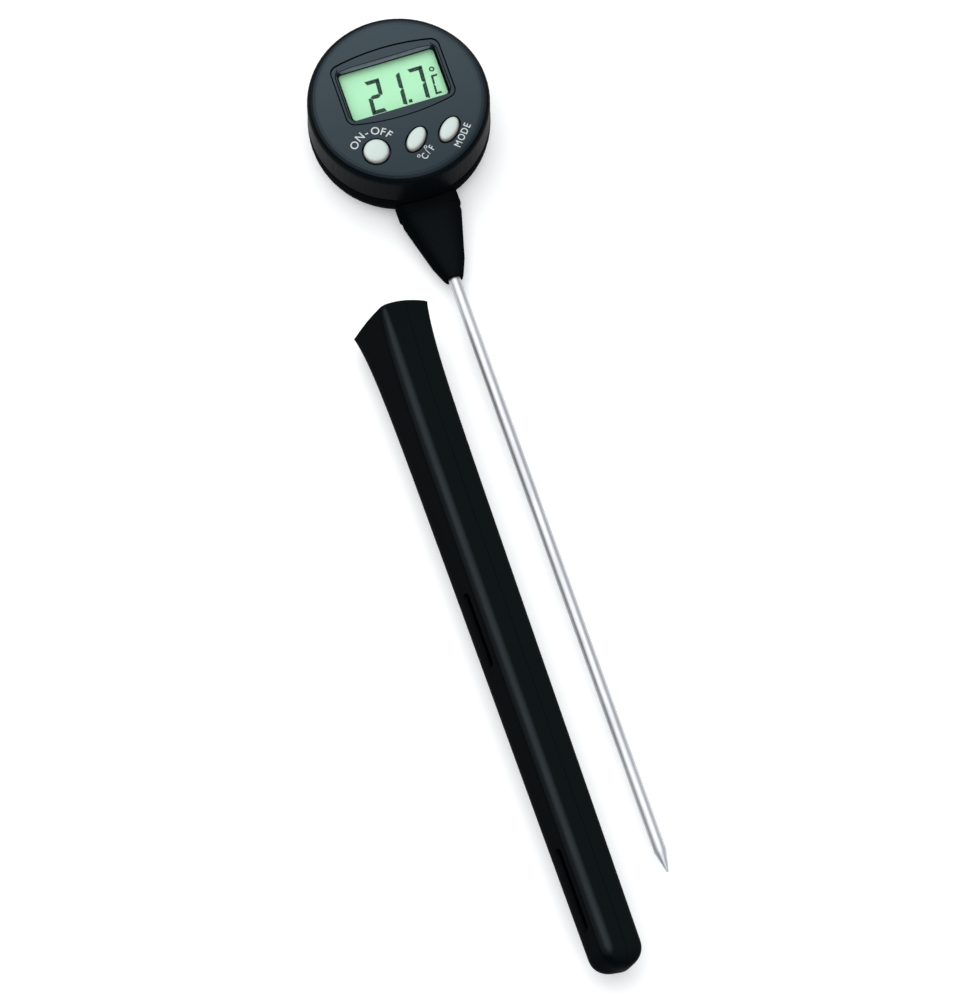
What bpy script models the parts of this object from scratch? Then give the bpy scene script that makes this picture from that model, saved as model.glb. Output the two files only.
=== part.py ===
"""Digital stem thermometer for a darkroom, with its pull-off sheath.

Frame: metres, +Z up and out of the face, +Y towards the top of the display. The origin is the
middle of the head's flat back. The stem runs along -Y, and the sheath lies beside it on the -X side.
"""

import math

import bmesh
import bpy
from mathutils import Vector

MM = 0.001
GAP = 0.3 * MM  # clearance between neighbouring pieces

# Head
HEAD_RADIUS = 22.5 * MM
HEAD_DEPTH = 22.3 * MM
SEAM_Z = 10.3 * MM
FACE_EDGE_RADIUS = 2.9 * MM
WALL = 1.4 * MM
FACE_WALL = 1.6 * MM
RIM_RADIUS = 22.6 * MM  # the rear shell stands out a little under the front one
RIM_HEIGHT = 1.4 * MM
BACK_FLAT_RADIUS = 17.9 * MM
TURN_STEPS = 72

# Screws
SCREW_PLACES = [(0.0, 17.6 * MM), (-15.0 * MM, -9.3 * MM), (15.0 * MM, -9.3 * MM)]
POST_RADIUS = 1.8 * MM
POST_BOTTOM = 6.3 * MM
BOSS_RADIUS = 2.7 * MM
SCREW_HEAD_RADIUS = 1.7 * MM
SCREW_HEAD_Z = (0.9 * MM, 2.2 * MM)
SCREW_RADIUS = 0.9 * MM
SCREW_TOP = 12.0 * MM

# Display
SCREEN_Y = 4.4 * MM
WINDOW_Y = 4.15 * MM
WINDOW_HALF = (12.25 * MM, 6.65 * MM)
WINDOW_SHARE = (1, 0.5, 0, -0.5, -1)  # points along the recess's arched upper edge
FRAME_HALF_WIDTH = 14.1 * MM
FRAME_HALF_HEIGHT = 9.8 * MM  # on the middle line
FRAME_SIDE_HALF_HEIGHT = 8.1 * MM  # at the sides: top and bottom are arched
FRAME_CORNER = 2.3 * MM
FRAME_GROOVE = 0.35 * MM
FRAME_FLANGE = 0.7 * MM
LENS_TOP = HEAD_DEPTH - 2.2 * MM
LENS_THICKNESS = 0.6 * MM
GLASS_HALF = (13.4 * MM, 8.2 * MM)
GLASS_THICKNESS = 1.8 * MM
ZEBRA_HALF = (12.0 * MM, 0.7 * MM)

# Circuit board
BOARD_Z = (13.2 * MM, 14.4 * MM)
BOARD_RADIUS = 20.3 * MM
BOARD_UNDERSIDE = BOARD_Z[0] - GAP
CHIP_HALF = (1.0 * MM, 0.6 * MM)

# Buttons: centre, half length, half width, turn
BUTTON_TOP = HEAD_DEPTH + 1.1 * MM
BUTTON_TRAVEL = 0.6 * MM
BUTTON_CLEARANCE = 0.5 * MM
BUTTON_FLANGE = 0.8 * MM
BUTTONS = {
    "on_off": ((-9.66 * MM, -12.4 * MM), 3.15 * MM, 3.15 * MM, 0.0),
    "unit": ((0.61 * MM, -12.3 * MM), 3.45 * MM, 2.0 * MM, math.radians(45)),
    "mode": ((9.1 * MM, -12.3 * MM), 3.5 * MM, 2.0 * MM, math.radians(45)),
}
BUTTON_CROWN_HEIGHT = 0.95 * MM
# Share of the width, share of the crown's height
BUTTON_CROWN = [(0.985, 0.32), (0.94, 0.6), (0.85, 0.8), (0.7, 0.92), (0.5, 0.98), (0.25, 1.0)]
BUTTON_STEM_RADIUS = 1.1 * MM
DOME_RADIUS = 2.4 * MM
DOME_TOP = BOARD_Z[1] + GAP + 0.5 * MM

# Battery bay
BAY_Y = 7.8 * MM
COVER_RADIUS = 7.2 * MM
CELL_RADIUS = 5.8 * MM
CELL_Z = (4.3 * MM, 9.7 * MM)
LEDGE_Z = (2.5 * MM, 3.1 * MM)
LEDGE_RADIUS = 6.2 * MM
LUG_GROOVE_RADIUS = 7.1 * MM
LUG_Z = (3.4 * MM, 3.9 * MM)
BAY_BOSS_RADIUS = 8.4 * MM
WELL_RADIUS = 7.3 * MM
COVER_TURN = math.radians(60)

# Stem
PROBE_Z = 5.3 * MM
PROBE_RADIUS = 1.525 * MM
PROBE_BORE = 1.2 * MM
PROBE_START = 20.0 * MM  # distances along the stem are from the head's axis
PROBE_END = 204.7 * MM
PROBE_POINT = 5.3 * MM
NECK_END = 43.7 * MM
ROOT_HALF = (7.0 * MM, 3.4 * MM)
SHOULDER = 24.6 * MM
# Distance from the head's axis, half width, half depth
NECK_SECTIONS = [
    (18.0 * MM, 7.95 * MM, 4.4 * MM),
    (SHOULDER, 7.95 * MM, 4.4 * MM),
    (SHOULDER + 0.02 * MM, 7.55 * MM, 4.25 * MM),
    (26.6 * MM, 7.5 * MM, 4.2 * MM),
    (39.0 * MM, 4.2 * MM, 3.3 * MM),
    (41.9 * MM, 3.05 * MM, 2.75 * MM),
    (NECK_END - 0.5 * MM, 2.5 * MM, 2.4 * MM),
    (NECK_END, 2.15 * MM, 2.1 * MM),
]
THERMISTOR_START = 195.1 * MM
THERMISTOR_LENGTH = 4.0 * MM
THERMISTOR_RADIUS = 0.85 * MM
WIRE_END = 194.8 * MM
WIRE_RADIUS = 0.24 * MM
WIRE_SPREAD = 0.42 * MM

# Sheath, in its own frame: +X is its wide direction, +Z its slotted face, and it runs along -Y
SHEATH_PLACE = (-18.9 * MM, -51.2 * MM, 10.9 * MM)
SHEATH_ROLL = math.radians(-64)
SHEATH_LENGTH = 174.7 * MM
SHEATH_SIDE = 13.25 * MM
SHEATH_TAPER = 2.2 * MM
SHEATH_FLARE = 4.7 * MM  # extra width at the mouth
SHEATH_FLARE_LENGTH = 13.0 * MM
SHEATH_CORNER = 3.0 * MM
SHEATH_WALL = 1.1 * MM
SHEATH_END_ROUND = 5.4 * MM
MOUTH_ARCH = 0.8 * MM
SLOTS = [(74.6 * MM, 20.0 * MM), (142.3 * MM, 21.6 * MM)]  # distance from the mouth, length
SLOT_WIDTH = 3.0 * MM


def clear_scene():
    for obj in list(bpy.data.objects):
        bpy.data.objects.remove(obj)


def make_material(name, colour, roughness, metallic=0.0):
    material = bpy.data.materials.new(name)
    material.use_nodes = True
    shader = material.node_tree.nodes["Principled BSDF"]
    shader.inputs["Base Color"].default_value = (*colour, 1.0)
    shader.inputs["Roughness"].default_value = roughness
    shader.inputs["Metallic"].default_value = metallic
    return material


def finish_object(name, mesh, material=None, sharp=35):
    """Turns a bmesh into an object with smooth round sides and sharp edges."""
    bmesh.ops.recalc_face_normals(mesh, faces=mesh.faces)
    data = bpy.data.meshes.new(name)
    mesh.to_mesh(data)
    mesh.free()
    data.shade_smooth()
    data.set_sharp_from_angle(angle=math.radians(sharp))
    obj = bpy.data.objects.new(name, data)
    bpy.context.scene.collection.objects.link(obj)
    if material:
        data.materials.append(material)
    return obj


def turned(name, profile, material=None, steps=TURN_STEPS, closed=False):
    """A solid of revolution about local Z from (radius, height) points."""
    mesh = bmesh.new()
    verts = [mesh.verts.new((radius, 0.0, height)) for radius, height in profile]
    pairs = list(zip(verts, verts[1:]))
    if closed:
        pairs.append((verts[-1], verts[0]))
    edges = [mesh.edges.new(pair) for pair in pairs]
    bmesh.ops.spin(
        mesh,
        geom=verts + edges,
        cent=(0, 0, 0),
        axis=(0, 0, 1),
        angle=math.tau,
        steps=steps,
        use_merge=True,
    )
    bmesh.ops.remove_doubles(mesh, verts=mesh.verts, dist=1e-7)
    return finish_object(name, mesh, material)


def prism(name, outline, low, high, material=None):
    """An outline in the XY plane, extruded from low to high."""
    mesh = bmesh.new()
    face = mesh.faces.new([mesh.verts.new((x, y, low)) for x, y in outline])
    grown = bmesh.ops.extrude_face_region(mesh, geom=[face])["geom"]
    tops = [item for item in grown if isinstance(item, bmesh.types.BMVert)]
    bmesh.ops.translate(mesh, verts=tops, vec=(0, 0, high - low))
    return finish_object(name, mesh, material)


def lofted(name, rings, material=None, sharp=35):
    """A closed solid through rings of equally many points, flat at both ends."""
    mesh = bmesh.new()
    loops = [[mesh.verts.new(point) for point in ring] for ring in rings]
    mesh.faces.new(loops[0])
    mesh.faces.new(loops[-1])
    for near, far in zip(loops, loops[1:]):
        for i, vert in enumerate(near):
            j = (i + 1) % len(near)
            mesh.faces.new((vert, near[j], far[j], far[i]))
    return finish_object(name, mesh, material, sharp)


def disc(name, radius, low, high, material=None, steps=32):
    return turned(name, [(0, high), (radius, high), (radius, low), (0, low)], material, steps)


def arc(centre, radius, start, stop, count):
    """Points on an arc in (radius, height) or (x, y), angles in degrees."""
    angles = [math.radians(start + (stop - start) * i / count) for i in range(count + 1)]
    return [(centre[0] + radius * math.cos(a), centre[1] + radius * math.sin(a)) for a in angles]


def rounded(points, radius, count=4, least_turn=math.radians(30)):
    """The outline with every real corner rounded; shallow turns stay as they are."""
    corners = [Vector(point) for point in points]
    made = []
    for i, corner in enumerate(corners):
        back = (corners[i - 1] - corner).normalized()
        ahead = (corners[(i + 1) % len(corners)] - corner).normalized()
        half = back.angle(ahead) / 2
        if math.pi - 2 * half < least_turn:
            made.append(tuple(corner))
            continue
        centre = corner + (back + ahead).normalized() * radius / math.sin(half)
        first = corner + back * radius / math.tan(half) - centre
        last = corner + ahead * radius / math.tan(half) - centre
        for step in range(count + 1):
            spoke = first.lerp(last, step / count).normalized() * radius
            made.append(tuple(centre + spoke))
    return made


def rectangle(half_x, half_y, centre=(0.0, 0.0)):
    x, y = centre
    signs = [(-1, -1), (1, -1), (1, 1), (-1, 1)]
    return [(x + sign_x * half_x, y + sign_y * half_y) for sign_x, sign_y in signs]


def block(name, half_x, half_y, low, high, material=None, centre=(0.0, 0.0), corner=0.0):
    outline = rectangle(half_x, half_y, centre)
    return prism(name, rounded(outline, corner) if corner else outline, low, high, material)


def ellipse(half_x, half_y, height, count=32):
    turns = [math.tau * i / count for i in range(count)]
    return [(half_x * math.cos(t), half_y * math.sin(t), height) for t in turns]


def hidden(tool):
    """Marks a cutter or filler, which is not a part of its own."""
    tool.hide_render = True
    tool.display_type = "WIRE"
    return tool


def combine(target, tool, operation):
    modifier = target.modifiers.new(tool.name, "BOOLEAN")
    modifier.operation = operation
    modifier.object = tool
    modifier.solver = "EXACT"


def cut(target, *tools):
    for tool in tools:
        combine(target, hidden(tool), "DIFFERENCE")


def fuse(target, *tools):
    for tool in tools:
        combine(target, hidden(tool), "UNION")


def move(obj, x=0.0, y=0.0, z=0.0):
    obj.location = (x, y, z)
    return obj


def screen_outline(grow=0.0):
    """The arched outline of the display frame, grown outwards all round."""
    width = FRAME_HALF_WIDTH + grow
    middle = FRAME_HALF_HEIGHT + grow
    side = FRAME_SIDE_HALF_HEIGHT + grow
    count = 8
    lower = []
    for i in range(count + 1):
        share = 2 * i / count - 1
        lower.append((share * width, -middle + (middle - side) * share * share))
    upper = [(-x, -y) for x, y in lower]
    return [(x, y + SCREEN_Y) for x, y in rounded(lower + upper, FRAME_CORNER + grow)]


def bowl_profile(grow=0.0):
    """The rear shell's outside, from the rim's top edge down to the axis."""
    arc_top = SEAM_Z - GAP / 2 - RIM_HEIGHT
    side = RIM_RADIUS - BACK_FLAT_RADIUS
    points = [(RIM_RADIUS + grow, SEAM_Z - GAP / 2)]
    for i in range(11):
        turn = math.radians(9 * i)
        across = (side + grow) * math.cos(turn)
        points.append((BACK_FLAT_RADIUS + across, arc_top - (arc_top + grow) * math.sin(turn)))
    return points + [(0.0, -grow)]


def make_front_shell(plastic):
    centre = (HEAD_RADIUS - FACE_EDGE_RADIUS, HEAD_DEPTH - FACE_EDGE_RADIUS)
    edge = arc(centre, FACE_EDGE_RADIUS, 90, 0, 6)
    low = SEAM_Z + GAP / 2
    lip = 0.3 * MM
    skirt = [(HEAD_RADIUS, low + lip), (HEAD_RADIUS - lip, low)]
    shell = turned("front_shell", [(0.0, HEAD_DEPTH), *edge, *skirt, (0.0, low)], plastic)

    inner = FACE_EDGE_RADIUS - WALL
    top = HEAD_DEPTH - FACE_WALL
    hollow_edge = arc((HEAD_RADIUS - WALL - inner, top - inner), inner, 90, 0, 4)
    cavity = [(0.0, top), *hollow_edge, (HEAD_RADIUS - WALL, 0.0), (0.0, 0.0)]
    cut(shell, turned("front_hollow", cavity))
    for x, y in SCREW_PLACES:
        post = disc("post", POST_RADIUS, POST_BOTTOM, HEAD_DEPTH - MM, steps=20)
        fuse(shell, move(post, x, y))
    for x, y in SCREW_PLACES:
        pilot = disc("pilot", SCREW_RADIUS + GAP, 0.0, SCREW_TOP + MM, steps=20)
        cut(shell, move(pilot, x, y))
    cut(shell, prism("screen_hole", screen_outline(), top - MM, HEAD_DEPTH + MM))
    for name, (centre, half_x, half_y, turn) in BUTTONS.items():
        rings = [
            ellipse(half_x + BUTTON_CLEARANCE, half_y + BUTTON_CLEARANCE, height)
            for height in (top - MM, HEAD_DEPTH + MM)
        ]
        hole = move(lofted(f"hole_{name}", rings), *centre)
        hole.rotation_euler.z = turn
        cut(shell, hole)
    return shell


def make_display(plastic, clear, glass, silver, rubber):
    body_top = HEAD_DEPTH - 0.15 * MM
    flange_top = HEAD_DEPTH - FACE_WALL - GAP
    flange_low = flange_top - 0.9 * MM
    frame = prism("lcd_frame", screen_outline(-FRAME_GROOVE), flange_low, body_top, plastic)
    fuse(frame, prism("frame_flange", screen_outline(FRAME_FLANGE), flange_low, flange_top))
    half_x, half_y = WINDOW_HALF
    wide = half_x + 0.45 * MM
    low = -half_y - 0.35 * MM
    arch = 0.9 * MM
    crest = half_y + 0.25 * MM + arch
    mouth = [(-wide, low), (wide, low)]
    mouth += [(wide * share, crest - arch * share * share) for share in WINDOW_SHARE]
    sill = [(-half_x, -half_y), (half_x, -half_y)]
    sill += [(half_x * share, half_y) for share in WINDOW_SHARE]
    lens_top = LENS_TOP + GAP
    levels = [
        (sill, lens_top - MM),
        (sill, body_top - 0.95 * MM),
        (mouth, body_top - 0.35 * MM),
        (mouth, body_top + MM),
    ]
    recess = [[(x, y + WINDOW_Y, z) for x, y in rounded(outline, MM)] for outline, z in levels]
    cut(frame, lofted("recess", recess, sharp=20))
    middle = (0, WINDOW_Y)
    margin = 0.5 * MM
    rebate = (half_x + margin + GAP, half_y + margin + GAP)
    cut(frame, block("rebate", *rebate, flange_low - MM, lens_top, centre=middle, corner=1.2 * MM))

    lens = (half_x + margin, half_y + margin)
    lens_low = LENS_TOP - LENS_THICKNESS
    block("display_window", *lens, lens_low, LENS_TOP, clear, middle, corner=MM)
    glass_top = flange_low - GAP
    glass_low = glass_top - GLASS_THICKNESS
    block("lcd_glass", *GLASS_HALF, glass_low, glass_top, glass, middle)
    strip_y = GLASS_HALF[1] - ZEBRA_HALF[1] - 0.2 * MM
    for name, side in (("upper", 1), ("lower", -1)):
        place = (0, WINDOW_Y + side * strip_y)
        block(f"zebra_strip_{name}", *ZEBRA_HALF, BOARD_Z[1] + GAP, glass_low - GAP, rubber, place)
    reflector_half = strip_y - ZEBRA_HALF[1] - GAP
    foil_top = glass_low - GAP
    block("lcd_reflector", half_x, reflector_half, foil_top - 0.3 * MM, foil_top, silver, middle)


def make_board(board_green, epoxy, ceramic, metal):
    board = disc("circuit_board", BOARD_RADIUS, *BOARD_Z, board_green, steps=56)
    for x, y in SCREW_PLACES:
        cut(board, move(disc("notch", POST_RADIUS + GAP, BOARD_Z[0] - MM, BOARD_Z[1] + MM, steps=20), x, y))

    blob_height = 1.2 * MM
    levels = ((3.4, 0.0), (3.3, 0.25), (2.6, 0.75), (1.5, 1.0), (0.4, 1.0))
    profile = [(0.0, BOARD_UNDERSIDE)] + [(r * MM, BOARD_UNDERSIDE - h * blob_height) for r, h in levels]
    profile.append((0.0, BOARD_UNDERSIDE - blob_height))
    move(turned("controller_chip", profile, epoxy, steps=28), -9.0 * MM, -2.5 * MM)

    crystal = disc("timing_crystal", 0.95 * MM, 0.0, 5.8 * MM, metal, steps=16)
    crystal.rotation_euler.x = math.radians(90)
    move(crystal, 6.5 * MM, -1.0 * MM, BOARD_UNDERSIDE - 0.95 * MM)

    for number, y in enumerate((-3.5, 0.0, 3.5), start=1):
        place = (10.5 * MM, y * MM)
        bottom = BOARD_UNDERSIDE - 0.5 * MM
        block(f"chip_resistor_{number}", *CHIP_HALF, bottom, BOARD_UNDERSIDE, epoxy, place)
    for number, y in enumerate((4.5, 8.0), start=1):
        place = (-10.5 * MM, y * MM)
        bottom = BOARD_UNDERSIDE - 0.8 * MM
        block(f"chip_capacitor_{number}", *CHIP_HALF, bottom, BOARD_UNDERSIDE, ceramic, place)

    dome_low = BOARD_Z[1] + GAP
    for name, (centre, *_) in BUTTONS.items():
        profile = [(0.0, DOME_TOP), (1.2 * MM, DOME_TOP - 0.1 * MM), (DOME_RADIUS, dome_low + 0.15 * MM)]
        profile += [(DOME_RADIUS, dome_low), (0.0, dome_low)]
        move(turned(f"key_dome_{name}", profile, metal, steps=24), *centre)


def make_buttons(plastic):
    """Each cap has a flange under the face that keeps it in, and a stem over its key dome."""
    flange_top = HEAD_DEPTH - FACE_WALL - 0.4 * MM
    flange_low = flange_top - 0.9 * MM
    stem_low = DOME_TOP + BUTTON_TRAVEL + 0.1 * MM
    shoulder = BUTTON_TOP - BUTTON_CROWN_HEIGHT
    for name, (centre, half_x, half_y, turn) in BUTTONS.items():
        rings = []
        for height in (stem_low, flange_low):
            rings.append(ellipse(BUTTON_STEM_RADIUS, BUTTON_STEM_RADIUS, height))
        for height in (flange_low, flange_top):
            rings.append(ellipse(half_x + BUTTON_FLANGE, half_y + BUTTON_FLANGE, height))
        for height in (flange_top, shoulder):
            rings.append(ellipse(half_x, half_y, height))
        for width, rise in BUTTON_CROWN:
            rings.append(ellipse(width * half_x, width * half_y, shoulder + rise * BUTTON_CROWN_HEIGHT))
        button = move(lofted(f"button_{name}", rings, plastic), *centre)
        button.rotation_euler.z = turn


def make_rear_shell(plastic):
    top = SEAM_Z - GAP / 2
    shell = turned("rear_shell", [(0.0, top)] + bowl_profile(), plastic)

    floor = 1.45 * MM
    hollow_profile = [(0.0, top + MM), (RIM_RADIUS - WALL, top + MM), (RIM_RADIUS - WALL, top - MM)]
    arc_top = top - RIM_HEIGHT
    side = RIM_RADIUS - BACK_FLAT_RADIUS - 0.2 * MM
    for i in range(8):
        turn = math.radians(12.5 * i)
        across = BACK_FLAT_RADIUS - WALL + side * math.cos(turn)
        hollow_profile.append((across, arc_top - (arc_top - floor) * math.sin(turn)))
    hollow = turned("rear_hollow", hollow_profile + [(0.0, floor)])
    for x, y in SCREW_PLACES:
        cut(hollow, move(disc("boss", BOSS_RADIUS, 0.0, POST_BOTTOM - GAP, steps=24), x, y))
    cut(hollow, move(disc("bay_boss", BAY_BOSS_RADIUS, 0.0, 4.9 * MM, steps=40), 0, BAY_Y))
    cut(hollow, move(disc("bay_well", WELL_RADIUS, 4.0 * MM, 9.3 * MM, steps=40), 0, BAY_Y))
    cut(shell, hollow)

    for x, y in SCREW_PLACES:
        screw_way = disc("screw_way", SCREW_RADIUS + GAP, -2 * MM, POST_BOTTOM + MM, steps=20)
        head_top = SCREW_HEAD_Z[1] + GAP
        counterbore = disc("counterbore", SCREW_HEAD_RADIUS + GAP, -MM, head_top, steps=24)
        cut(shell, move(screw_way, x, y), move(counterbore, x, y))
    bay_profile = [
        (0.0, 10.5 * MM),
        (CELL_RADIUS + 0.4 * MM, 10.5 * MM),
        (CELL_RADIUS + 0.4 * MM, LUG_Z[1] + GAP),
        (LUG_GROOVE_RADIUS, LUG_Z[1] + GAP),
        (LUG_GROOVE_RADIUS, LEDGE_Z[1]),
        (LEDGE_RADIUS, LEDGE_Z[1]),
        (LEDGE_RADIUS, LEDGE_Z[0]),
        (COVER_RADIUS + GAP, LEDGE_Z[0]),
        (COVER_RADIUS + GAP, -MM),
        (0.0, -MM),
    ]
    cut(shell, move(turned("bay", bay_profile, steps=44), 0, BAY_Y))
    notch = block("lug_entry", LUG_GROOVE_RADIUS, 1.4 * MM, LEDGE_Z[0] - 0.2 * MM, LEDGE_Z[1] + 0.2 * MM)
    notch.rotation_euler.z = -COVER_TURN
    cut(shell, move(notch, 0, BAY_Y))
    contact_way = block("contact_way", 1.4 * MM, 2.2 * MM, 4.6 * MM, 10.5 * MM)
    cut(shell, move(contact_way, CELL_RADIUS + 1.0 * MM, BAY_Y))
    opening_half = (ROOT_HALF[0] + GAP, ROOT_HALF[1] + GAP)
    cut(shell, lofted("neck_opening", [root_ring(d, *opening_half) for d in (15 * MM, RIM_RADIUS + MM)]))
    return shell


def make_battery_bay(plastic, rubber, cell_steel, spring_metal):
    face_low = 0.2 * MM
    face_top = 1.3 * MM
    hub = LEDGE_RADIUS - GAP
    edge = 0.35 * MM
    profile = [
        (0.0, LUG_Z[1]),
        (hub, LUG_Z[1]),
        (hub, face_top),
        (COVER_RADIUS, face_top),
        (COVER_RADIUS, face_low + edge),
        (COVER_RADIUS - edge, face_low),
        (0.0, face_low),
    ]
    cover = move(turned("battery_cover", profile, plastic, steps=40), 0, BAY_Y)
    lug_reach = LUG_GROOVE_RADIUS - GAP
    fuse(cover, move(block("lugs", lug_reach, 1.1 * MM, *LUG_Z, corner=0.3 * MM), 0, BAY_Y))
    slot_top = face_low + 0.7 * MM
    coin_slot = block("coin_slot", 5.2 * MM, 0.75 * MM, -MM, slot_top, corner=0.6 * MM)
    cut(cover, move(coin_slot, 0, BAY_Y))

    seal_middle = hub + 0.75 * MM
    seal_z = (face_top + LEDGE_Z[0]) / 2
    ring = arc((seal_middle, seal_z), 0.3 * MM, 360, 45, 7)
    move(turned("battery_seal", ring, rubber, steps=40, closed=True), 0, BAY_Y)

    low, high = CELL_Z
    profile = [
        (0.0, high),
        (4.9 * MM, high),
        (5.0 * MM, high - 0.3 * MM),
        (CELL_RADIUS - 0.2 * MM, high - 0.4 * MM),
        (CELL_RADIUS, high - 0.7 * MM),
        (CELL_RADIUS, low + 0.3 * MM),
        (CELL_RADIUS - 0.3 * MM, low),
        (0.0, low),
    ]
    move(turned("coin_cell", profile, cell_steel, steps=40), 0, BAY_Y)

    strip = 0.25 * MM
    arm_z = high + GAP
    tip = -2.5 * MM
    heel = 4.3 * MM
    arm = [
        (tip, arm_z),
        (heel, arm_z),
        (heel, BOARD_UNDERSIDE),
        (heel - strip, BOARD_UNDERSIDE),
        (heel - strip, arm_z + strip),
        (tip, arm_z + strip),
    ]
    negative = prism("battery_contact_negative", arm, -1.5 * MM, 1.5 * MM, spring_metal)
    negative.rotation_euler = (math.radians(90), 0, math.radians(90))
    move(negative, 0, BAY_Y)
    place = (CELL_RADIUS + GAP + strip / 2, BAY_Y)
    upright = (strip / 2, 1.6 * MM, 5.2 * MM, BOARD_UNDERSIDE)
    block("battery_contact_positive", *upright, spring_metal, place)


def make_fasteners(steel, rubber):
    for number, (x, y) in enumerate(SCREW_PLACES, start=1):
        low, high = SCREW_HEAD_Z
        profile = [
            (0.0, SCREW_TOP),
            (0.3 * MM, SCREW_TOP),
            (SCREW_RADIUS, SCREW_TOP - 1.2 * MM),
            (SCREW_RADIUS, high),
            (SCREW_HEAD_RADIUS, high),
            (SCREW_HEAD_RADIUS, low + 0.4 * MM),
            (SCREW_HEAD_RADIUS - 0.5 * MM, low),
            (0.0, low),
        ]
        screw = move(turned(f"case_screw_{number}", profile, steel, steps=20), x, y)
        for turn in (0, 90):
            recess = block("recess_bar", 1.0 * MM, 0.22 * MM, low - MM, low + 0.8 * MM)
            recess.rotation_euler.z = math.radians(turn)
            cut(screw, move(recess, x, y))
    outer = HEAD_RADIUS - WALL - GAP
    inner = outer - 0.45 * MM
    low = SEAM_Z - 0.6 * MM
    high = SEAM_Z + 0.6 * MM
    ring = [(outer, high), (outer, low), (inner, low), (inner, high)]
    turned("case_gasket", ring, rubber, closed=True)


def root_ring(distance, half_x, half_z):
    """One cross-section of the neck's root, which sits in an opening of the rear shell."""
    outline = rounded(rectangle(half_x, half_z), 0.72 * min(half_x, half_z), 5)
    return [(x, -distance, PROBE_Z + z) for x, z in outline]


def neck_ring(distance, half_x, half_z, count=36, squareness=2.6):
    """One cross-section of the neck: between an ellipse and a rectangle, so every side is crowned."""
    ring = []
    for i in range(count):
        turn = math.tau * (i + 0.5) / count
        x = half_x * math.copysign(abs(math.cos(turn)) ** (2 / squareness), math.cos(turn))
        z = half_z * math.copysign(abs(math.sin(turn)) ** (2 / squareness), math.sin(turn))
        ring.append((x, -distance, PROBE_Z + z))
    return ring


def along_stem(obj, distance):
    """Turns a piece's local +Z along the stem and puts its start at a distance."""
    obj.rotation_euler.x = math.radians(90)
    return move(obj, 0, -distance, PROBE_Z)


def make_stem(plastic, steel, potting, bead):
    neck = lofted("neck", [neck_ring(*section) for section in NECK_SECTIONS], plastic)
    above = SEAM_Z + 2 * MM
    outline = [(0.0, above), (RIM_RADIUS + GAP, above), *bowl_profile(GAP)]
    cut(neck, turned("head_clearance", outline))
    fuse(neck, lofted("root", [root_ring(d, *ROOT_HALF) for d in (15.4 * MM, RIM_RADIUS + 0.8 * MM)]))
    flange_half = (ROOT_HALF[0] + 1.2 * MM, ROOT_HALF[1] - 0.05 * MM)
    fuse(neck, lofted("root_flange", [root_ring(d, *flange_half) for d in (14.5 * MM, 15.5 * MM)]))
    cut(neck, along_stem(disc("probe_way", PROBE_RADIUS + GAP, 0.0, 40 * MM, steps=28), 10 * MM))
    cut(neck, along_stem(disc("potting_way", 2.6 * MM, 0.0, 7.2 * MM, steps=28), 13 * MM))
    collar = disc("probe_way_end", PROBE_RADIUS + 0.1 * MM, 0.0, 30 * MM, steps=28)
    cut(neck, along_stem(collar, 30 * MM))

    length = PROBE_END - PROBE_START
    shaft = length - PROBE_POINT
    profile = [
        (0.0, length),
        (0.16 * MM, length - 0.06 * MM),
        (0.3 * MM, length - 0.35 * MM),
        (PROBE_RADIUS, shaft),
        (PROBE_RADIUS, 0.0),
        (PROBE_BORE, 0.0),
        (PROBE_BORE, shaft),
        (0.2 * MM, length - 1.3 * MM),
        (0.0, length - 1.3 * MM),
    ]
    along_stem(turned("probe_tube", profile, steel, steps=28), PROBE_START)

    plug = disc("potting_plug", 2.3 * MM, 0.0, 2.4 * MM, potting, steps=28)
    way = rounded(rectangle(WIRE_SPREAD + 0.6 * MM, 0.6 * MM), 0.55 * MM)
    slot = prism("wire_way", way, -MM, 4 * MM)
    cut(along_stem(plug, 17.2 * MM), along_stem(slot, 17.2 * MM))

    nose = THERMISTOR_LENGTH - THERMISTOR_RADIUS
    capsule = arc((0, nose), THERMISTOR_RADIUS, 90, 0, 4)
    capsule += arc((0, THERMISTOR_RADIUS), THERMISTOR_RADIUS, 0, -90, 4)
    profile = [(max(radius, 0.0), height) for radius, height in capsule]
    along_stem(turned("thermistor", profile, bead, steps=16), THERMISTOR_START)


def smooth_route(points, step):
    """Points read off a smooth curve through the given ones."""
    route = [Vector(point) for point in points]
    made = []
    for i in range(len(route) - 1):
        before = route[max(i - 1, 0)]
        start, stop = route[i], route[i + 1]
        after = route[min(i + 2, len(route) - 1)]
        count = max(1, round((stop - start).length / step))
        for k in range(count):
            t = k / count
            made.append(
                0.5
                * (
                    2 * start
                    + (stop - before) * t
                    + (2 * before - 5 * start + 4 * stop - after) * t * t
                    + (3 * start - before - 3 * stop + after) * t * t * t
                )
            )
    return made + [route[-1]]


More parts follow.
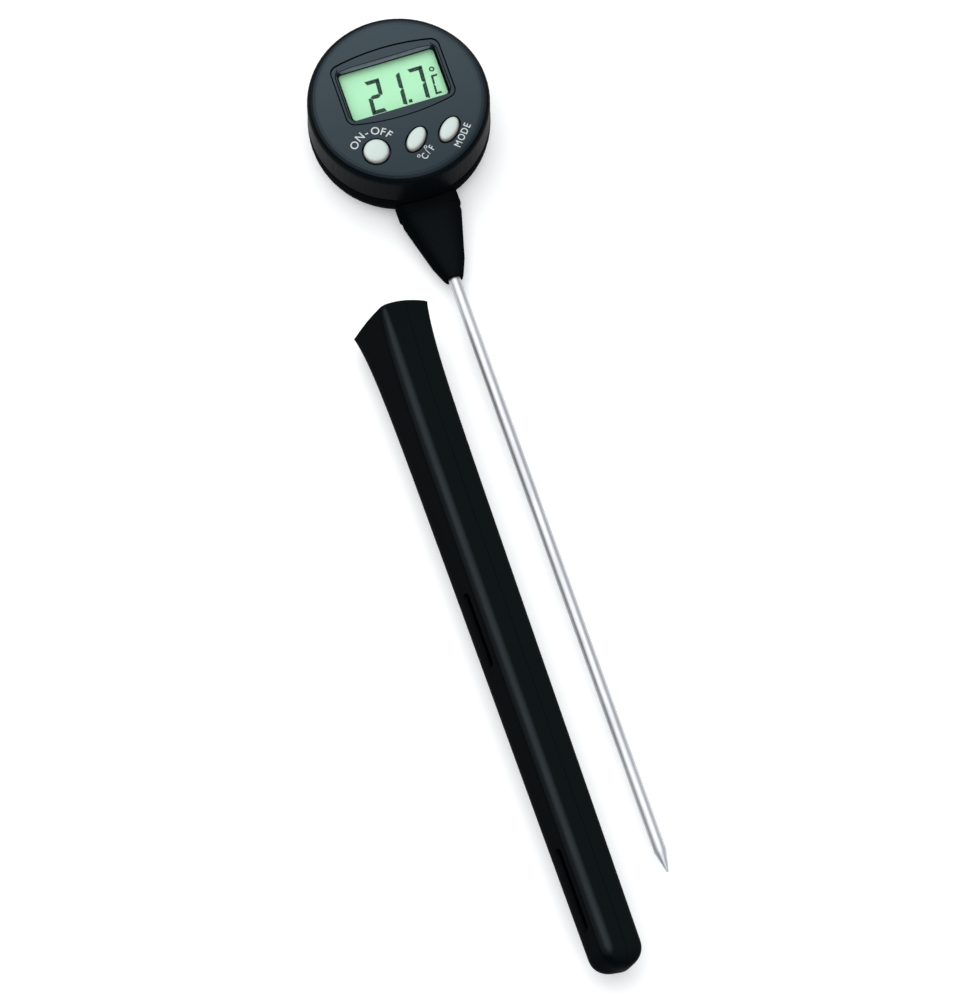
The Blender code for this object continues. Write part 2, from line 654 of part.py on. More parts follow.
def make_wires(materials):
    for side, (name, material) in zip((-1, 1), materials.items()):
        straight_end = (side * WIRE_SPREAD, -20.5 * MM, PROBE_Z)
        bend = [
            straight_end,
            (side * WIRE_SPREAD, -17.0 * MM, PROBE_Z),
            (side * 0.9 * MM, -14.6 * MM, 6.3 * MM),
            (side * 1.5 * MM, -13.2 * MM, 8.6 * MM),
            (side * 1.9 * MM, -12.6 * MM, 11.0 * MM),
            (side * 2.0 * MM, -12.5 * MM, BOARD_UNDERSIDE),
        ]
        far = (side * WIRE_SPREAD, -WIRE_END, PROBE_Z)
        points = [Vector(far).lerp(Vector(straight_end), i / 24) for i in range(24)]
        points += smooth_route(bend, 0.8 * MM)
        curve = bpy.data.curves.new(name, "CURVE")
        curve.dimensions = "3D"
        curve.bevel_depth = WIRE_RADIUS
        curve.bevel_resolution = 1
        curve.use_fill_caps = True
        spline = curve.splines.new("POLY")
        spline.points.add(len(points) - 1)
        for slot, point in zip(spline.points, points):
            slot.co = (*point, 1.0)
        curve.materials.append(material)
        wire = bpy.data.objects.new(name, curve)
        bpy.context.scene.collection.objects.link(wire)


def sheath_ring(distance, inset=0.0, squeeze=1.0):
    """A cross-section of the sheath at a distance from its mouth."""
    share = distance / SHEATH_LENGTH
    flare = SHEATH_FLARE * math.exp(-distance / SHEATH_FLARE_LENGTH)
    side = SHEATH_SIDE - SHEATH_TAPER * share
    half_x = ((side + flare) / 2 - inset) * squeeze
    half_z = (side / 2 - inset) * squeeze
    softness = 1.0 - 0.6 * math.exp(-distance / (6 * MM))
    corner = max(SHEATH_CORNER * softness - inset, 0.5 * MM) * squeeze
    return rounded(rectangle(half_x, half_z), corner, 4)


def mouth_edge(x, z):
    """How far the sheath's rim stands out at its mouth: the two flared sides are arched."""
    half = SHEATH_SIDE / 2
    wide = (SHEATH_SIDE + SHEATH_FLARE) / 2
    if abs(x) < 0.9 * wide:
        return 0.0
    return MOUTH_ARCH * (1 - (z / half) ** 2)


def sheath_solid(name, start, inset, end, material=None):
    """The sheath's outside, or its hollow with an inset, both with a round closed end."""
    body = 12
    cap = 6
    straight = end - SHEATH_END_ROUND + inset
    rings = []
    for i in range(body + 1):
        distance = start + (straight - start) * (i / body) ** 1.6
        rings.append((distance, sheath_ring(max(distance, 0.0), inset)))
    for i in range(1, cap + 1):
        share = 0.985 * math.sin(math.radians(90 * i / cap))
        squeeze = (1 - share**2.3) ** (1 / 2.3)
        distance = straight + (end - straight) * share
        rings.append((distance, sheath_ring(distance, inset, squeeze)))
    placed = [[(x, -distance, z) for x, z in ring] for distance, ring in rings]
    if not inset:
        placed[0] = [(x, mouth_edge(x, z), z) for x, _, z in placed[0]]
    return lofted(name, placed, material, sharp=50)


def make_sheath(plastic):
    """Two half shells that meet on the plane through the middle of the narrow sides."""
    axis = bpy.data.objects.new("sheath_axis", None)
    axis.location = SHEATH_PLACE
    axis.rotation_euler.y = SHEATH_ROLL
    bpy.context.scene.collection.objects.link(axis)
    hollow = sheath_solid("sheath_hollow", -3 * MM, SHEATH_WALL, SHEATH_LENGTH - SHEATH_WALL)
    hollow.parent = axis
    big = 40 * MM
    for name, side in (("front", 1), ("rear", -1)):
        shell = sheath_solid(f"sheath_{name}_shell", 0.0, 0.0, SHEATH_LENGTH, plastic)
        shell.parent = axis
        other = sorted((side * GAP / 2, -side * big))
        half_space = block(f"beyond_{name}", big, SHEATH_LENGTH, *other)
        half_space.parent = axis
        cut(shell, half_space, hollow)
        if side > 0:
            for start, length in SLOTS:
                middle = (0.0, -start - length / 2)
                slot = block("slot", SLOT_WIDTH / 2, length / 2, 2 * MM, 12 * MM, None, middle, 1.2 * MM)
                slot.parent = axis
                cut(shell, slot)


def main():
    clear_scene()
    black = make_material("black_plastic", (0.012, 0.014, 0.015), 0.38)
    slate = make_material("slate_plastic", (0.035, 0.045, 0.055), 0.5)
    ivory = make_material("ivory_plastic", (0.72, 0.76, 0.72), 0.4)
    clear = make_material("clear_plastic", (0.85, 0.95, 0.88), 0.05)
    lcd = make_material("lcd_green", (0.4, 0.85, 0.5), 0.25)
    silver = make_material("reflector_foil", (0.75, 0.8, 0.75), 0.3, 1.0)
    rubber = make_material("black_rubber", (0.02, 0.02, 0.02), 0.8)
    board_green = make_material("board_green", (0.03, 0.16, 0.07), 0.45)
    epoxy = make_material("black_epoxy", (0.01, 0.01, 0.01), 0.3)
    ceramic = make_material("tan_ceramic", (0.45, 0.33, 0.2), 0.5)
    steel = make_material("stainless_steel", (0.62, 0.62, 0.64), 0.28, 1.0)
    nickel = make_material("nickel", (0.7, 0.68, 0.62), 0.3, 1.0)
    potting = make_material("potting_resin", (0.05, 0.045, 0.04), 0.35)
    wires = {
        "lead_wire_black": make_material("wire_black", (0.015, 0.015, 0.015), 0.5),
        "lead_wire_red": make_material("wire_red", (0.5, 0.03, 0.02), 0.5),
    }

    make_front_shell(slate)
    make_display(slate, clear, lcd, silver, rubber)
    make_board(board_green, epoxy, ceramic, nickel)
    make_buttons(ivory)
    make_rear_shell(black)
    make_battery_bay(black, rubber, nickel, nickel)
    make_fasteners(steel, rubber)
    make_stem(black, steel, potting, epoxy)
    make_wires(wires)
    make_sheath(black)


main()
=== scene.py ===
"""Looks for the darkroom thermometer: plastics, display, lettering, bright steel and studio light."""

import math

import bmesh
import bpy
from mathutils import Matrix, Vector


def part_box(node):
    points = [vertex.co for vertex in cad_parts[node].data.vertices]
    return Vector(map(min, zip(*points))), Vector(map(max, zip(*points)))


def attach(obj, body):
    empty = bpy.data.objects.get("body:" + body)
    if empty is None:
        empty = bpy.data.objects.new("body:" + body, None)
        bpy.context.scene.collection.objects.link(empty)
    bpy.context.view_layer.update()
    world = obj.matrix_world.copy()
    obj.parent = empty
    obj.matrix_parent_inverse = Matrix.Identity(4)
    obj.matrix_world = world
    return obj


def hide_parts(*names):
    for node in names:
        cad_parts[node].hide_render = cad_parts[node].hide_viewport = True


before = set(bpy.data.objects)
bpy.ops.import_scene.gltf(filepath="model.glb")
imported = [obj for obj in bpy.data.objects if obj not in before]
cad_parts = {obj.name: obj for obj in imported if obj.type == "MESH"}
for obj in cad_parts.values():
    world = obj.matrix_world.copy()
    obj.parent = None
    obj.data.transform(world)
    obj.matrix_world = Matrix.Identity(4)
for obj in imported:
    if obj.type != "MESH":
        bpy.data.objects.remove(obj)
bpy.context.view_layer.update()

MM = 0.001
BODY = "thermometer"
FACE_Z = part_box("front_shell")[1].z
GLASS_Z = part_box("lcd_glass")[1].z
FRAME_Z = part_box("lcd_frame")[1].z

COOL_TINT = (0.75, 0.92, 1.0, 1.0)  # the bluish cast of the black plastic's highlights
UP = (0.0, 0.0, 1.0)
FINE_GRAIN = 9000.0  # noise scale of the moulding's spark grain
IVORY = (0.56, 0.645, 0.605)
IVORY_DARK = (0.53, 0.615, 0.575)
# painted shade on the keys' lower edge
IVORY_PAINTED_SHADE = (0.3, 0.29, 0.27)
# painted shade: near black for the key flange down in its hole
PAINTED_HOLE_SHADE = (0.004, 0.005, 0.005)
FIELD_LIGHT = (0.42, 0.72, 0.49)
FIELD_DARK = (0.36, 0.66, 0.43)
# painted glow of the display field, which has no backlight
FIELD_GLOW = (0.4, 0.74, 0.48, 1.0)
# painted reflection of the overhead light on the front shell's flat face: its darker and paler ends
PAINTED_FACE_SHEEN_LOW = (0.018, 0.027, 0.035)
PAINTED_FACE_SHEEN_HIGH = (0.039, 0.054, 0.064)
SIDE_BLACK = (0.0022, 0.0034, 0.004)
FLOOR_LIGHT = (0.94, 0.945, 0.94)
FLOOR_DARK = (0.92, 0.925, 0.92)


# ---------------------------------------------------------------- materials


class Graph:
    """A short way to build a node material round one Principled shader."""

    def __init__(self, name, colour, roughness, metallic=0.0, specular=0.5):
        self.material = bpy.data.materials.new(name)
        self.material.use_nodes = True
        self.nodes = self.material.node_tree.nodes
        self.links = self.material.node_tree.links
        self.shader = self.nodes["Principled BSDF"]
        self.set("Base Color", (*colour, 1.0))
        self.set("Roughness", roughness)
        self.set("Metallic", metallic)
        self.set("Specular IOR Level", specular)
        self.place = self.nodes.new("ShaderNodeTexCoord").outputs["Object"]

    def set(self, socket, value):
        self.shader.inputs[socket].default_value = value

    def stretched(self, scale):
        """Object coordinates scaled by (x, y, z)."""
        mapping = self.nodes.new("ShaderNodeMapping")
        mapping.inputs["Scale"].default_value = scale
        self.links.new(self.place, mapping.inputs["Vector"])
        return mapping.outputs["Vector"]

    def noise(self, scale, detail=3.0, roughness=0.5, vector=None):
        noise = self.nodes.new("ShaderNodeTexNoise")
        noise.inputs["Scale"].default_value = scale
        noise.inputs["Detail"].default_value = detail
        noise.inputs["Roughness"].default_value = roughness
        self.links.new(vector or self.place, noise.inputs["Vector"])
        return noise.outputs["Fac"]

    def spread(self, value, low, high, socket=None, start=0.3, stop=0.7):
        """Maps a value from start..stop to a range, and plugs it into a shader socket."""
        ranger = self.nodes.new("ShaderNodeMapRange")
        ranger.inputs["From Min"].default_value = start
        ranger.inputs["From Max"].default_value = stop
        ranger.inputs["To Min"].default_value = low
        ranger.inputs["To Max"].default_value = high
        self.links.new(value, ranger.inputs["Value"])
        if socket:
            self.links.new(ranger.outputs["Result"], self.shader.inputs[socket])
        return ranger.outputs["Result"]

    def facing(self, direction, start, stop):
        """0 where the surface looks away from a direction in the object's own frame, 1 towards it."""
        normal = self.nodes.new("ShaderNodeTexCoord").outputs["Normal"]
        dot = self.nodes.new("ShaderNodeVectorMath")
        dot.operation = "DOT_PRODUCT"
        dot.inputs[1].default_value = Vector(direction).normalized()
        self.links.new(normal, dot.inputs[0])
        return self.spread(dot.outputs["Value"], 0.0, 1.0, start=start, stop=stop)

    def along(self, axis, start, stop):
        """0 below one place along an axis, 1 above another."""
        split = self.nodes.new("ShaderNodeSeparateXYZ")
        self.links.new(self.place, split.inputs["Vector"])
        return self.spread(split.outputs[axis], 0.0, 1.0, start=start, stop=stop)

    def tint(self, value, first, second):
        """Blends two colours by a value into the base colour; the second may be another blend."""
        mix = self.nodes.new("ShaderNodeMix")
        mix.data_type = "RGBA"
        mix.inputs["A"].default_value = (*first, 1.0)
        if isinstance(second, bpy.types.NodeSocket):
            self.links.new(second, mix.inputs["B"])
        else:
            mix.inputs["B"].default_value = (*second, 1.0)
        self.links.new(value, mix.inputs["Factor"])
        self.links.new(mix.outputs["Result"], self.shader.inputs["Base Color"])
        return mix.outputs["Result"]

    def bump(self, value, depth, strength=1.0):
        """Adds relief of a depth in metres."""
        bump = self.nodes.new("ShaderNodeBump")
        bump.inputs["Distance"].default_value = depth
        bump.inputs["Strength"].default_value = strength
        self.links.new(value, bump.inputs["Height"])
        previous = self.shader.inputs["Normal"].links
        if previous:
            self.links.new(previous[0].from_socket, bump.inputs["Normal"])
        self.links.new(bump.outputs["Normal"], self.shader.inputs["Normal"])


def moulded_plastic(name, light, dark, roughness, specular, towards, start):
    """Moulded black plastic: spark grain, uneven gloss, a painted highlight kept to one direction, and
    painted shade on faces turned away from up and to the right.
    """
    graph = Graph(name, light, roughness, specular=specular)
    graph.set("Specular Tint", COOL_TINT)
    # painted highlight: the specular is strong only where the surface faces the given direction
    painted_highlight_mask = graph.facing(towards, start, 1.0)
    graph.spread(painted_highlight_mask, 0.02 * specular, specular, "Specular IOR Level", 0.0, 1.0)
    # painted shade: the base colour is darker on faces turned away from up and to the right
    graph.tint(graph.facing((0.4, 0.0, 0.92), 0.5, 1.0), dark, light)
    graph.spread(graph.noise(95.0, 5.0, 0.6), roughness - 0.05, roughness + 0.06, "Roughness")
    graph.bump(graph.noise(FINE_GRAIN, 2.0), 0.003 * MM)
    graph.bump(graph.noise(140.0, 2.0), 0.02 * MM, 0.25)
    return graph.material


def key_material():
    """Ivory key plastic with painted shade down its lower edge; the flange below the face is painted near
    black as the shade in its hole.
    """
    graph = Graph("ivory_keys", IVORY, 0.42, specular=0.4)
    above = graph.along("Z", FACE_Z - 0.35 * MM, FACE_Z + 0.1 * MM)
    mottle = graph.tint(graph.spread(graph.noise(260.0, 4.0), 0.0, 1.0), IVORY_DARK, IVORY)
    # painted shade: darker where the key's surface turns towards the lower right
    crown_painted_shade = graph.tint(graph.facing((-0.25, 0.45, 0.86), 0.35, 0.88), IVORY_PAINTED_SHADE, mottle)
    # painted shadow: everything below the face level is near black
    graph.tint(above, PAINTED_HOLE_SHADE, crown_painted_shade)
    graph.bump(graph.noise(FINE_GRAIN, 2.0), 0.003 * MM)
    return graph.material


def metal(name, colour, roughness, stretch):
    """Metal with fine grinding marks along its long direction."""
    graph = Graph(name, colour, roughness, metallic=1.0)
    marks = graph.noise(1.0, 4.0, 0.65, graph.stretched(stretch))
    stains = graph.noise(60.0, 3.0)
    dark = tuple(0.82 * c for c in colour)
    graph.tint(graph.spread(stains, 0.0, 1.0), dark, colour)
    graph.spread(marks, roughness - 0.08, roughness + 0.1, "Roughness")
    graph.bump(marks, 0.004 * MM)
    return graph.material


def simple(name, colour, roughness, metallic=0.0, specular=0.5, scale=700.0):
    """A small plain part: slight colour variation and grain."""
    graph = Graph(name, colour, roughness, metallic, specular)
    speckle = graph.noise(scale, 3.0)
    graph.tint(graph.spread(speckle, 0.0, 1.0), tuple(0.88 * c for c in colour), colour)
    graph.spread(speckle, roughness - 0.04, roughness + 0.06, "Roughness")
    graph.bump(graph.noise(5.0 * scale, 2.0), 0.006 * MM)
    return graph.material


def window_material():
    """Clear acrylic: see-through, with a weak reflection and faint smudges in its gloss."""
    material = bpy.data.materials.new("clear_window")
    material.use_nodes = True
    nodes = material.node_tree.nodes
    links = material.node_tree.links
    nodes.remove(nodes["Principled BSDF"])
    clear = nodes.new("ShaderNodeBsdfTransparent")
    clear.inputs["Color"].default_value = (0.985, 0.995, 0.985, 1.0)
    gloss = nodes.new("ShaderNodeBsdfGlossy")
    gloss.inputs["Color"].default_value = (1.0, 1.0, 1.0, 1.0)
    place = nodes.new("ShaderNodeTexCoord").outputs["Object"]
    smudge = nodes.new("ShaderNodeTexNoise")
    smudge.inputs["Scale"].default_value = 160.0
    links.new(place, smudge.inputs["Vector"])
    haze = nodes.new("ShaderNodeMapRange")
    haze.inputs["To Min"].default_value = 0.03
    haze.inputs["To Max"].default_value = 0.12
    links.new(smudge.outputs["Fac"], haze.inputs["Value"])
    links.new(haze.outputs["Result"], gloss.inputs["Roughness"])
    fresnel = nodes.new("ShaderNodeFresnel")
    fresnel.inputs["IOR"].default_value = 1.12
    mix = nodes.new("ShaderNodeMixShader")
    links.new(fresnel.outputs["Fac"], mix.inputs["Fac"])
    links.new(clear.outputs["BSDF"], mix.inputs[1])
    links.new(gloss.outputs["BSDF"], mix.inputs[2])
    links.new(mix.outputs["Shader"], nodes["Material Output"].inputs["Surface"])
    return material


def lcd_material():
    """The display's pale green field, mottled like the foil behind a liquid crystal, with a faint painted
    glow.
    """
    graph = Graph("lcd_field", FIELD_LIGHT, 0.45, specular=0.05)
    mottle = graph.noise(2600.0, 4.0, 0.7)
    graph.tint(graph.spread(mottle, 0.0, 1.0), FIELD_DARK, FIELD_LIGHT)
    # painted glow: the field emits a little light though it has no backlight
    graph.set("Emission Color", FIELD_GLOW)
    graph.set("Emission Strength", 0.12)
    graph.bump(mottle, 0.003 * MM)
    return graph.material


def face_material():
    """The front shell: black round its sides, with a grey-blue sheen painted on the flat face as the
    reflection of the overhead light, paler towards the top.
    """
    graph = Graph("face_plastic", PAINTED_FACE_SHEEN_LOW, 0.36, specular=0.14)
    graph.set("Specular Tint", COOL_TINT)
    # painted reflection: up-facing faces get the grey-blue sheen and more specular, the rounded sides stay
    # black with little
    flat = graph.facing((0.0, -0.15, 0.99), 0.7, 0.985)
    painted_face_sheen = graph.tint(graph.along("Y", -18 * MM, 22 * MM), PAINTED_FACE_SHEEN_LOW, PAINTED_FACE_SHEEN_HIGH)
    graph.tint(flat, SIDE_BLACK, painted_face_sheen)
    graph.spread(flat, 0.008, 0.15, "Specular IOR Level", start=0.0, stop=1.0)
    graph.spread(graph.noise(70.0, 5.0, 0.6), 0.33, 0.43, "Roughness")
    graph.bump(graph.noise(FINE_GRAIN, 2.0), 0.004 * MM)
    return graph.material


# ---------------------------------------------------------------- shapes


def finish_mesh(name, mesh, material, body=BODY, smooth=True, sharp=35):
    """Makes an object from a bmesh, shades it and rides it on a body."""
    bmesh.ops.recalc_face_normals(mesh, faces=mesh.faces)
    data = bpy.data.meshes.new(name)
    mesh.to_mesh(data)
    mesh.free()
    if smooth:
        data.shade_smooth()
        data.set_sharp_from_angle(angle=math.radians(sharp))
    piece = bpy.data.objects.new(name, data)
    bpy.context.scene.collection.objects.link(piece)
    data.materials.append(material)
    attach(piece, body)
    return piece


def add_prism(mesh, outline, low, high):
    """Adds an extruded outline to a bmesh; each point is (x, y) in metres."""
    bottom = [mesh.verts.new((x, y, low)) for x, y in outline]
    top = [mesh.verts.new((x, y, high)) for x, y in outline]
    mesh.faces.new(top)
    mesh.faces.new(bottom[::-1])
    for i, vert in enumerate(bottom):
        j = (i + 1) % len(bottom)
        mesh.faces.new((vert, bottom[j], top[j], top[i]))


def add_ring(mesh, centre, radius, width, low, high, count=32):
    """Adds a flat ring to a bmesh."""
    rows = []
    for r, z in ((radius, high), (radius + width, high), (radius + width, low), (radius, low)):
        row = []
        for i in range(count):
            turn = math.tau * i / count
            row.append(mesh.verts.new((centre[0] + r * math.cos(turn), centre[1] + r * math.sin(turn), z)))
        rows.append(row)
    for near, far in zip(rows, rows[1:] + rows[:1]):
        for i in range(count):
            j = (i + 1) % count
            mesh.faces.new((near[i], near[j], far[j], far[i]))


def give(node, material):
    """Gives a carried-over CAD node its finished material."""
    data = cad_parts[node].data
    data.materials.clear()
    data.materials.append(material)


# ---------------------------------------------------------------- display

DIGIT_HEIGHT = 9.15 * MM
DIGIT_WIDTH = 3.75 * MM
DIGIT_BASE = -1.35 * MM
STROKE = 1.0 * MM
MITRE = 0.55  # how far a bar's ends are cut back, as a share of its stroke
SLANT = math.tan(math.radians(4.4))
LIT = {"2": "abged", "1": "bc", "7": "abc", "C": "afed"}
DIGITS = [("2", -4.85 * MM), ("1", 0.45 * MM), ("7", 6.25 * MM)]
POINT = [(2.5, -0.95), (3.35, -1.0), (3.4, -0.15), (2.55, -0.1)]  # the decimal point's corners, mm
DEGREE_CENTRE = (10.53 * MM, 6.06 * MM)
DEGREE_RADIUS = 0.36 * MM
DEGREE_STROKE = 0.32 * MM
UNIT_CENTRE = 10.45 * MM
UNIT_BASE = -0.85 * MM
UNIT_SIZE = (1.75 * MM, 5.3 * MM)
UNIT_STROKE = 0.5 * MM
BAR_GAP = 0.07 * MM  # the hairline between neighbouring bars
INK_LOW = GLASS_Z + 0.02 * MM
INK_HIGH = GLASS_Z + 0.08 * MM


def segment_outline(letter, width, height, stroke):
    """One bar of a seven-segment digit, with mitred ends and a hairline gap at the middle."""
    middle = height / 2
    half = stroke / 2
    cut = MITRE * stroke
    bars = {
        "a": [
            (BAR_GAP, height),
            (width - BAR_GAP, height),
            (width - cut, height - stroke),
            (cut, height - stroke),
        ],
        "g": [
            (half + BAR_GAP, middle),
            (stroke + BAR_GAP, middle + half),
            (width - stroke - BAR_GAP, middle + half),
            (width - half - BAR_GAP, middle),
            (width - stroke - BAR_GAP, middle - half),
            (stroke + BAR_GAP, middle - half),
        ],
        "b": [
            (width, height - BAR_GAP),
            (width, middle + BAR_GAP),
            (width - half, middle + BAR_GAP),
            (width - stroke, middle + half + BAR_GAP),
            (width - stroke, height - cut),
        ],
    }
    flips = {"a": "a", "g": "g", "b": "b", "c": "b", "d": "a", "e": "b", "f": "b"}
    outline = bars[flips[letter]]
    if letter in "dce":
        outline = [(x, height - y) for x, y in outline]
    if letter in "fe":
        outline = [(width - x, y) for x, y in outline]
    return outline


def add_digit(mesh, digit, centre, base, width, height, stroke):
    """Lays out a slanted digit; centre is its middle at half height."""
    for letter in LIT[digit]:
        outline = []
        for x, y in segment_outline(letter, width, height, stroke):
            lean = SLANT * (y - height / 2)
            outline.append((centre - width / 2 + x + lean, base + y))
        add_prism(mesh, outline, INK_LOW, INK_HIGH)


def make_display_segments(material):
    mesh = bmesh.new()
    for digit, centre in DIGITS:
        add_digit(mesh, digit, centre, DIGIT_BASE, DIGIT_WIDTH, DIGIT_HEIGHT, STROKE)
    add_prism(mesh, [(x * MM, y * MM) for x, y in POINT], INK_LOW, INK_HIGH)
    add_ring(mesh, DEGREE_CENTRE, DEGREE_RADIUS, DEGREE_STROKE, INK_LOW, INK_HIGH)
    add_digit(mesh, "C", UNIT_CENTRE, UNIT_BASE, *UNIT_SIZE, UNIT_STROKE)
    return finish_mesh("lcd_segments", mesh, material, smooth=False)


# ---------------------------------------------------------------- lettering

CAPITAL_SHARE = 0.73  # a capital's height as a share of the font's size
ARC_RADIUS = 5.7 * MM
ARC_HEIGHT = 2.05 * MM
ARC_LETTERS = [("O", -54.0), ("N", -28.0), ("-", -8.5), ("O", 14.6), ("F", 34.6), ("F", 51.5)]
MODE_TURN = math.radians(48)
MODE_HEIGHT = 1.85 * MM
MODE_LETTERS = [("M", 9.9, -16.6), ("O", 11.22, -15.12), ("D", 12.45, -13.77), ("E", 13.5, -12.55)]
UNIT_TURN = math.radians(40)
UNIT_HEIGHT = 1.75 * MM
UNIT_LETTERS = [("C", 1.13, -17.2), ("/", 2.2, -16.3), ("F", 3.42, -15.56)]
UNIT_SQUEEZE = 0.85
MODE_SQUEEZE = 0.86
DEGREE_MARKS = ((-0.2, -16.75), (2.1, -14.95))
MARK_RADIUS = 0.26 * MM
MARK_STROKE = 0.16 * MM
MARK_LOW = FACE_Z + 0.004 * MM
MARK_HIGH = FACE_Z + 0.02 * MM


def letter_mesh(character, height):
    """One character's flat mesh, centred, with capitals of the given height."""
    text = bpy.data.curves.new("letter", "FONT")
    text.body = character
    text.align_x = "CENTER"
    text.size = height / CAPITAL_SHARE
    text.extrude = 0.008 * MM
    text.offset = 0.008 * height
    text.resolution_u = 6
    holder = bpy.data.objects.new("letter", text)
    bpy.context.scene.collection.objects.link(holder)
    graph = bpy.context.evaluated_depsgraph_get()
    data = bpy.data.meshes.new_from_object(holder.evaluated_get(graph))
    bpy.data.objects.remove(holder)
    bpy.data.curves.remove(text)
    return data


def make_label(name, letters, material, narrow=1.0):
    """Joins letters, each (character, x, y, turn, height), into one printed label on the face."""
    mesh = bmesh.new()
    for character, x, y, turn, height in letters:
        data = letter_mesh(character, height)
        middle = 0.45 * height if character == "-" else 0.5 * height
        move = Matrix.Translation((x, y, FACE_Z + 0.012 * MM)) @ Matrix.Rotation(turn, 4, "Z")
        squeeze = Matrix.Diagonal((narrow, 1.0, 1.0, 1.0))
        data.transform(move @ squeeze @ Matrix.Translation((0.0, -middle, 0.0)))
        mesh.from_mesh(data)
        bpy.data.meshes.remove(data)
    return finish_mesh(name, mesh, material, smooth=False)


def make_lettering(ink):
    """ON-OFF round its button, and MODE and the temperature unit set at a slant."""
    lo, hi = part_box("button_on_off")
    centre = (lo + hi) / 2
    letters = []
    for character, clockwise in ARC_LETTERS:
        angle = math.radians(clockwise)
        x = centre.x + ARC_RADIUS * math.sin(angle)
        y = centre.y + ARC_RADIUS * math.cos(angle)
        letters.append((character, x, y, -angle, ARC_HEIGHT))
    make_label("label_on_off", letters, ink)

    letters = [(c, x * MM, y * MM, MODE_TURN, MODE_HEIGHT) for c, x, y in MODE_LETTERS]
    make_label("label_mode", letters, ink, MODE_SQUEEZE)

    letters = [(c, x * MM, y * MM, UNIT_TURN, UNIT_HEIGHT) for c, x, y in UNIT_LETTERS]
    label = make_label("label_unit", letters, ink, UNIT_SQUEEZE)
    mesh = bmesh.new()
    mesh.from_mesh(label.data)
    for x, y in DEGREE_MARKS:
        add_ring(mesh, (x * MM, y * MM), MARK_RADIUS, MARK_STROKE, MARK_LOW, MARK_HIGH, 20)
    mesh.to_mesh(label.data)
    mesh.free()


# ---------------------------------------------------------------- sheath

SHEATH_PLACE = (-18.9 * MM, -51.2 * MM, 10.9 * MM)
SHEATH_ROLL = math.radians(-64)
SHEATH_LENGTH = 174.7 * MM
SHEATH_SIDE = 13.25 * MM
SHEATH_TAPER = 2.2 * MM
SHEATH_FLARE = 4.7 * MM
SHEATH_FLARE_LENGTH = 13.0 * MM
SHEATH_CORNER = 3.0 * MM
SHEATH_WALL = 1.1 * MM
SHEATH_END_ROUND = 5.4 * MM
MOUTH_ARCH = 0.8 * MM  # on the two flared faces
MOUTH_SIDE_ARCH = 0.45 * MM  # on the other two
MOUTH_BACK = 0.15 * MM
PARTING = 0.05 * MM  # half the gap between the two shells
MOUTH_LIP = 0.35 * MM  # how far the mouth's rounded edge stands out between the two skins
MOUTH_SOFT = 6 * MM  # the corners sharpen towards the mouth over this distance
CORNER_LEAST = 0.5 * MM
SLOTS = [(74.6 * MM, 20.0 * MM), (142.3 * MM, 21.6 * MM)]
SLOT_WIDTH = 3.0 * MM
SHEATH_PLACING = Matrix.Translation(SHEATH_PLACE) @ Matrix.Rotation(SHEATH_ROLL, 4, "Y")
SIDE_STEPS = 5
CORNER_STEPS = 12
TOP_STEPS = 8
SKIN_ROWS = 46
END_ROWS = 15
END_POWER = 2.3
LIP_STEPS = 5


def half_outline(distance, inset, squeeze, side):
    """Half of the sheath's section, from its +X parting edge over the face to its -X one."""
    flare = SHEATH_FLARE * math.exp(-distance / SHEATH_FLARE_LENGTH)
    width = SHEATH_SIDE - SHEATH_TAPER * distance / SHEATH_LENGTH
    half_x = ((width + flare) / 2 - inset) * squeeze
    half_z = (width / 2 - inset) * squeeze
    softness = 1.0 - 0.6 * math.exp(-distance / MOUTH_SOFT)
    corner = max(SHEATH_CORNER * softness - inset, CORNER_LEAST) * squeeze
    low = PARTING * squeeze
    points = []
    for i in range(SIDE_STEPS):
        points.append((half_x, low + (half_z - corner - low) * i / SIDE_STEPS))
    for i in range(CORNER_STEPS + 1):
        turn = math.radians(90 * i / CORNER_STEPS)
        x = half_x - corner + corner * math.cos(turn)
        points.append((x, half_z - corner + corner * math.sin(turn)))
    mirrored = [(-x, z) for x, z in reversed(points)]
    for i in range(1, TOP_STEPS):
        points.append(((half_x - corner) * (1 - 2 * i / TOP_STEPS), half_z))
    return [(x, side * z) for x, z in points + mirrored]


def sheath_rows(inset, side):
    """Rows of points along one skin, from just inside the mouth to the closed end."""
    end = SHEATH_LENGTH - inset
    straight = SHEATH_LENGTH - SHEATH_END_ROUND
    stations = []
    for i in range(SKIN_ROWS + 1):
        stations.append((straight * (i / SKIN_ROWS) ** 1.5, 1.0))
    for i in range(1, END_ROWS):
        share = 0.992 * math.sin(math.radians(90 * i / (END_ROWS - 1)))
        stations.append((straight + (end - straight) * share, (1 - share**END_POWER) ** (1 / END_POWER)))
    rows = []
    for distance, squeeze in stations:
        outline = half_outline(distance, inset, squeeze, side)
        rows.append([(x, -distance, z) for x, z in outline])
    return rows


def arched(row, lip):
    """Moves a row to the mouth's edge, which swells forwards in the middle of every face."""
    half_x = max(abs(x) for x, _, _ in row)
    half_z = max(abs(z) for _, _, z in row)
    placed = []
    for x, y, z in row:
        across = abs(x) / half_x
        along = abs(z) / half_z
        swell = MOUTH_ARCH * (1 - along**2) * across**6 + MOUTH_SIDE_ARCH * (1 - across**2) * along**6
        placed.append((x, y + swell + lip - MOUTH_BACK, z))
    return placed


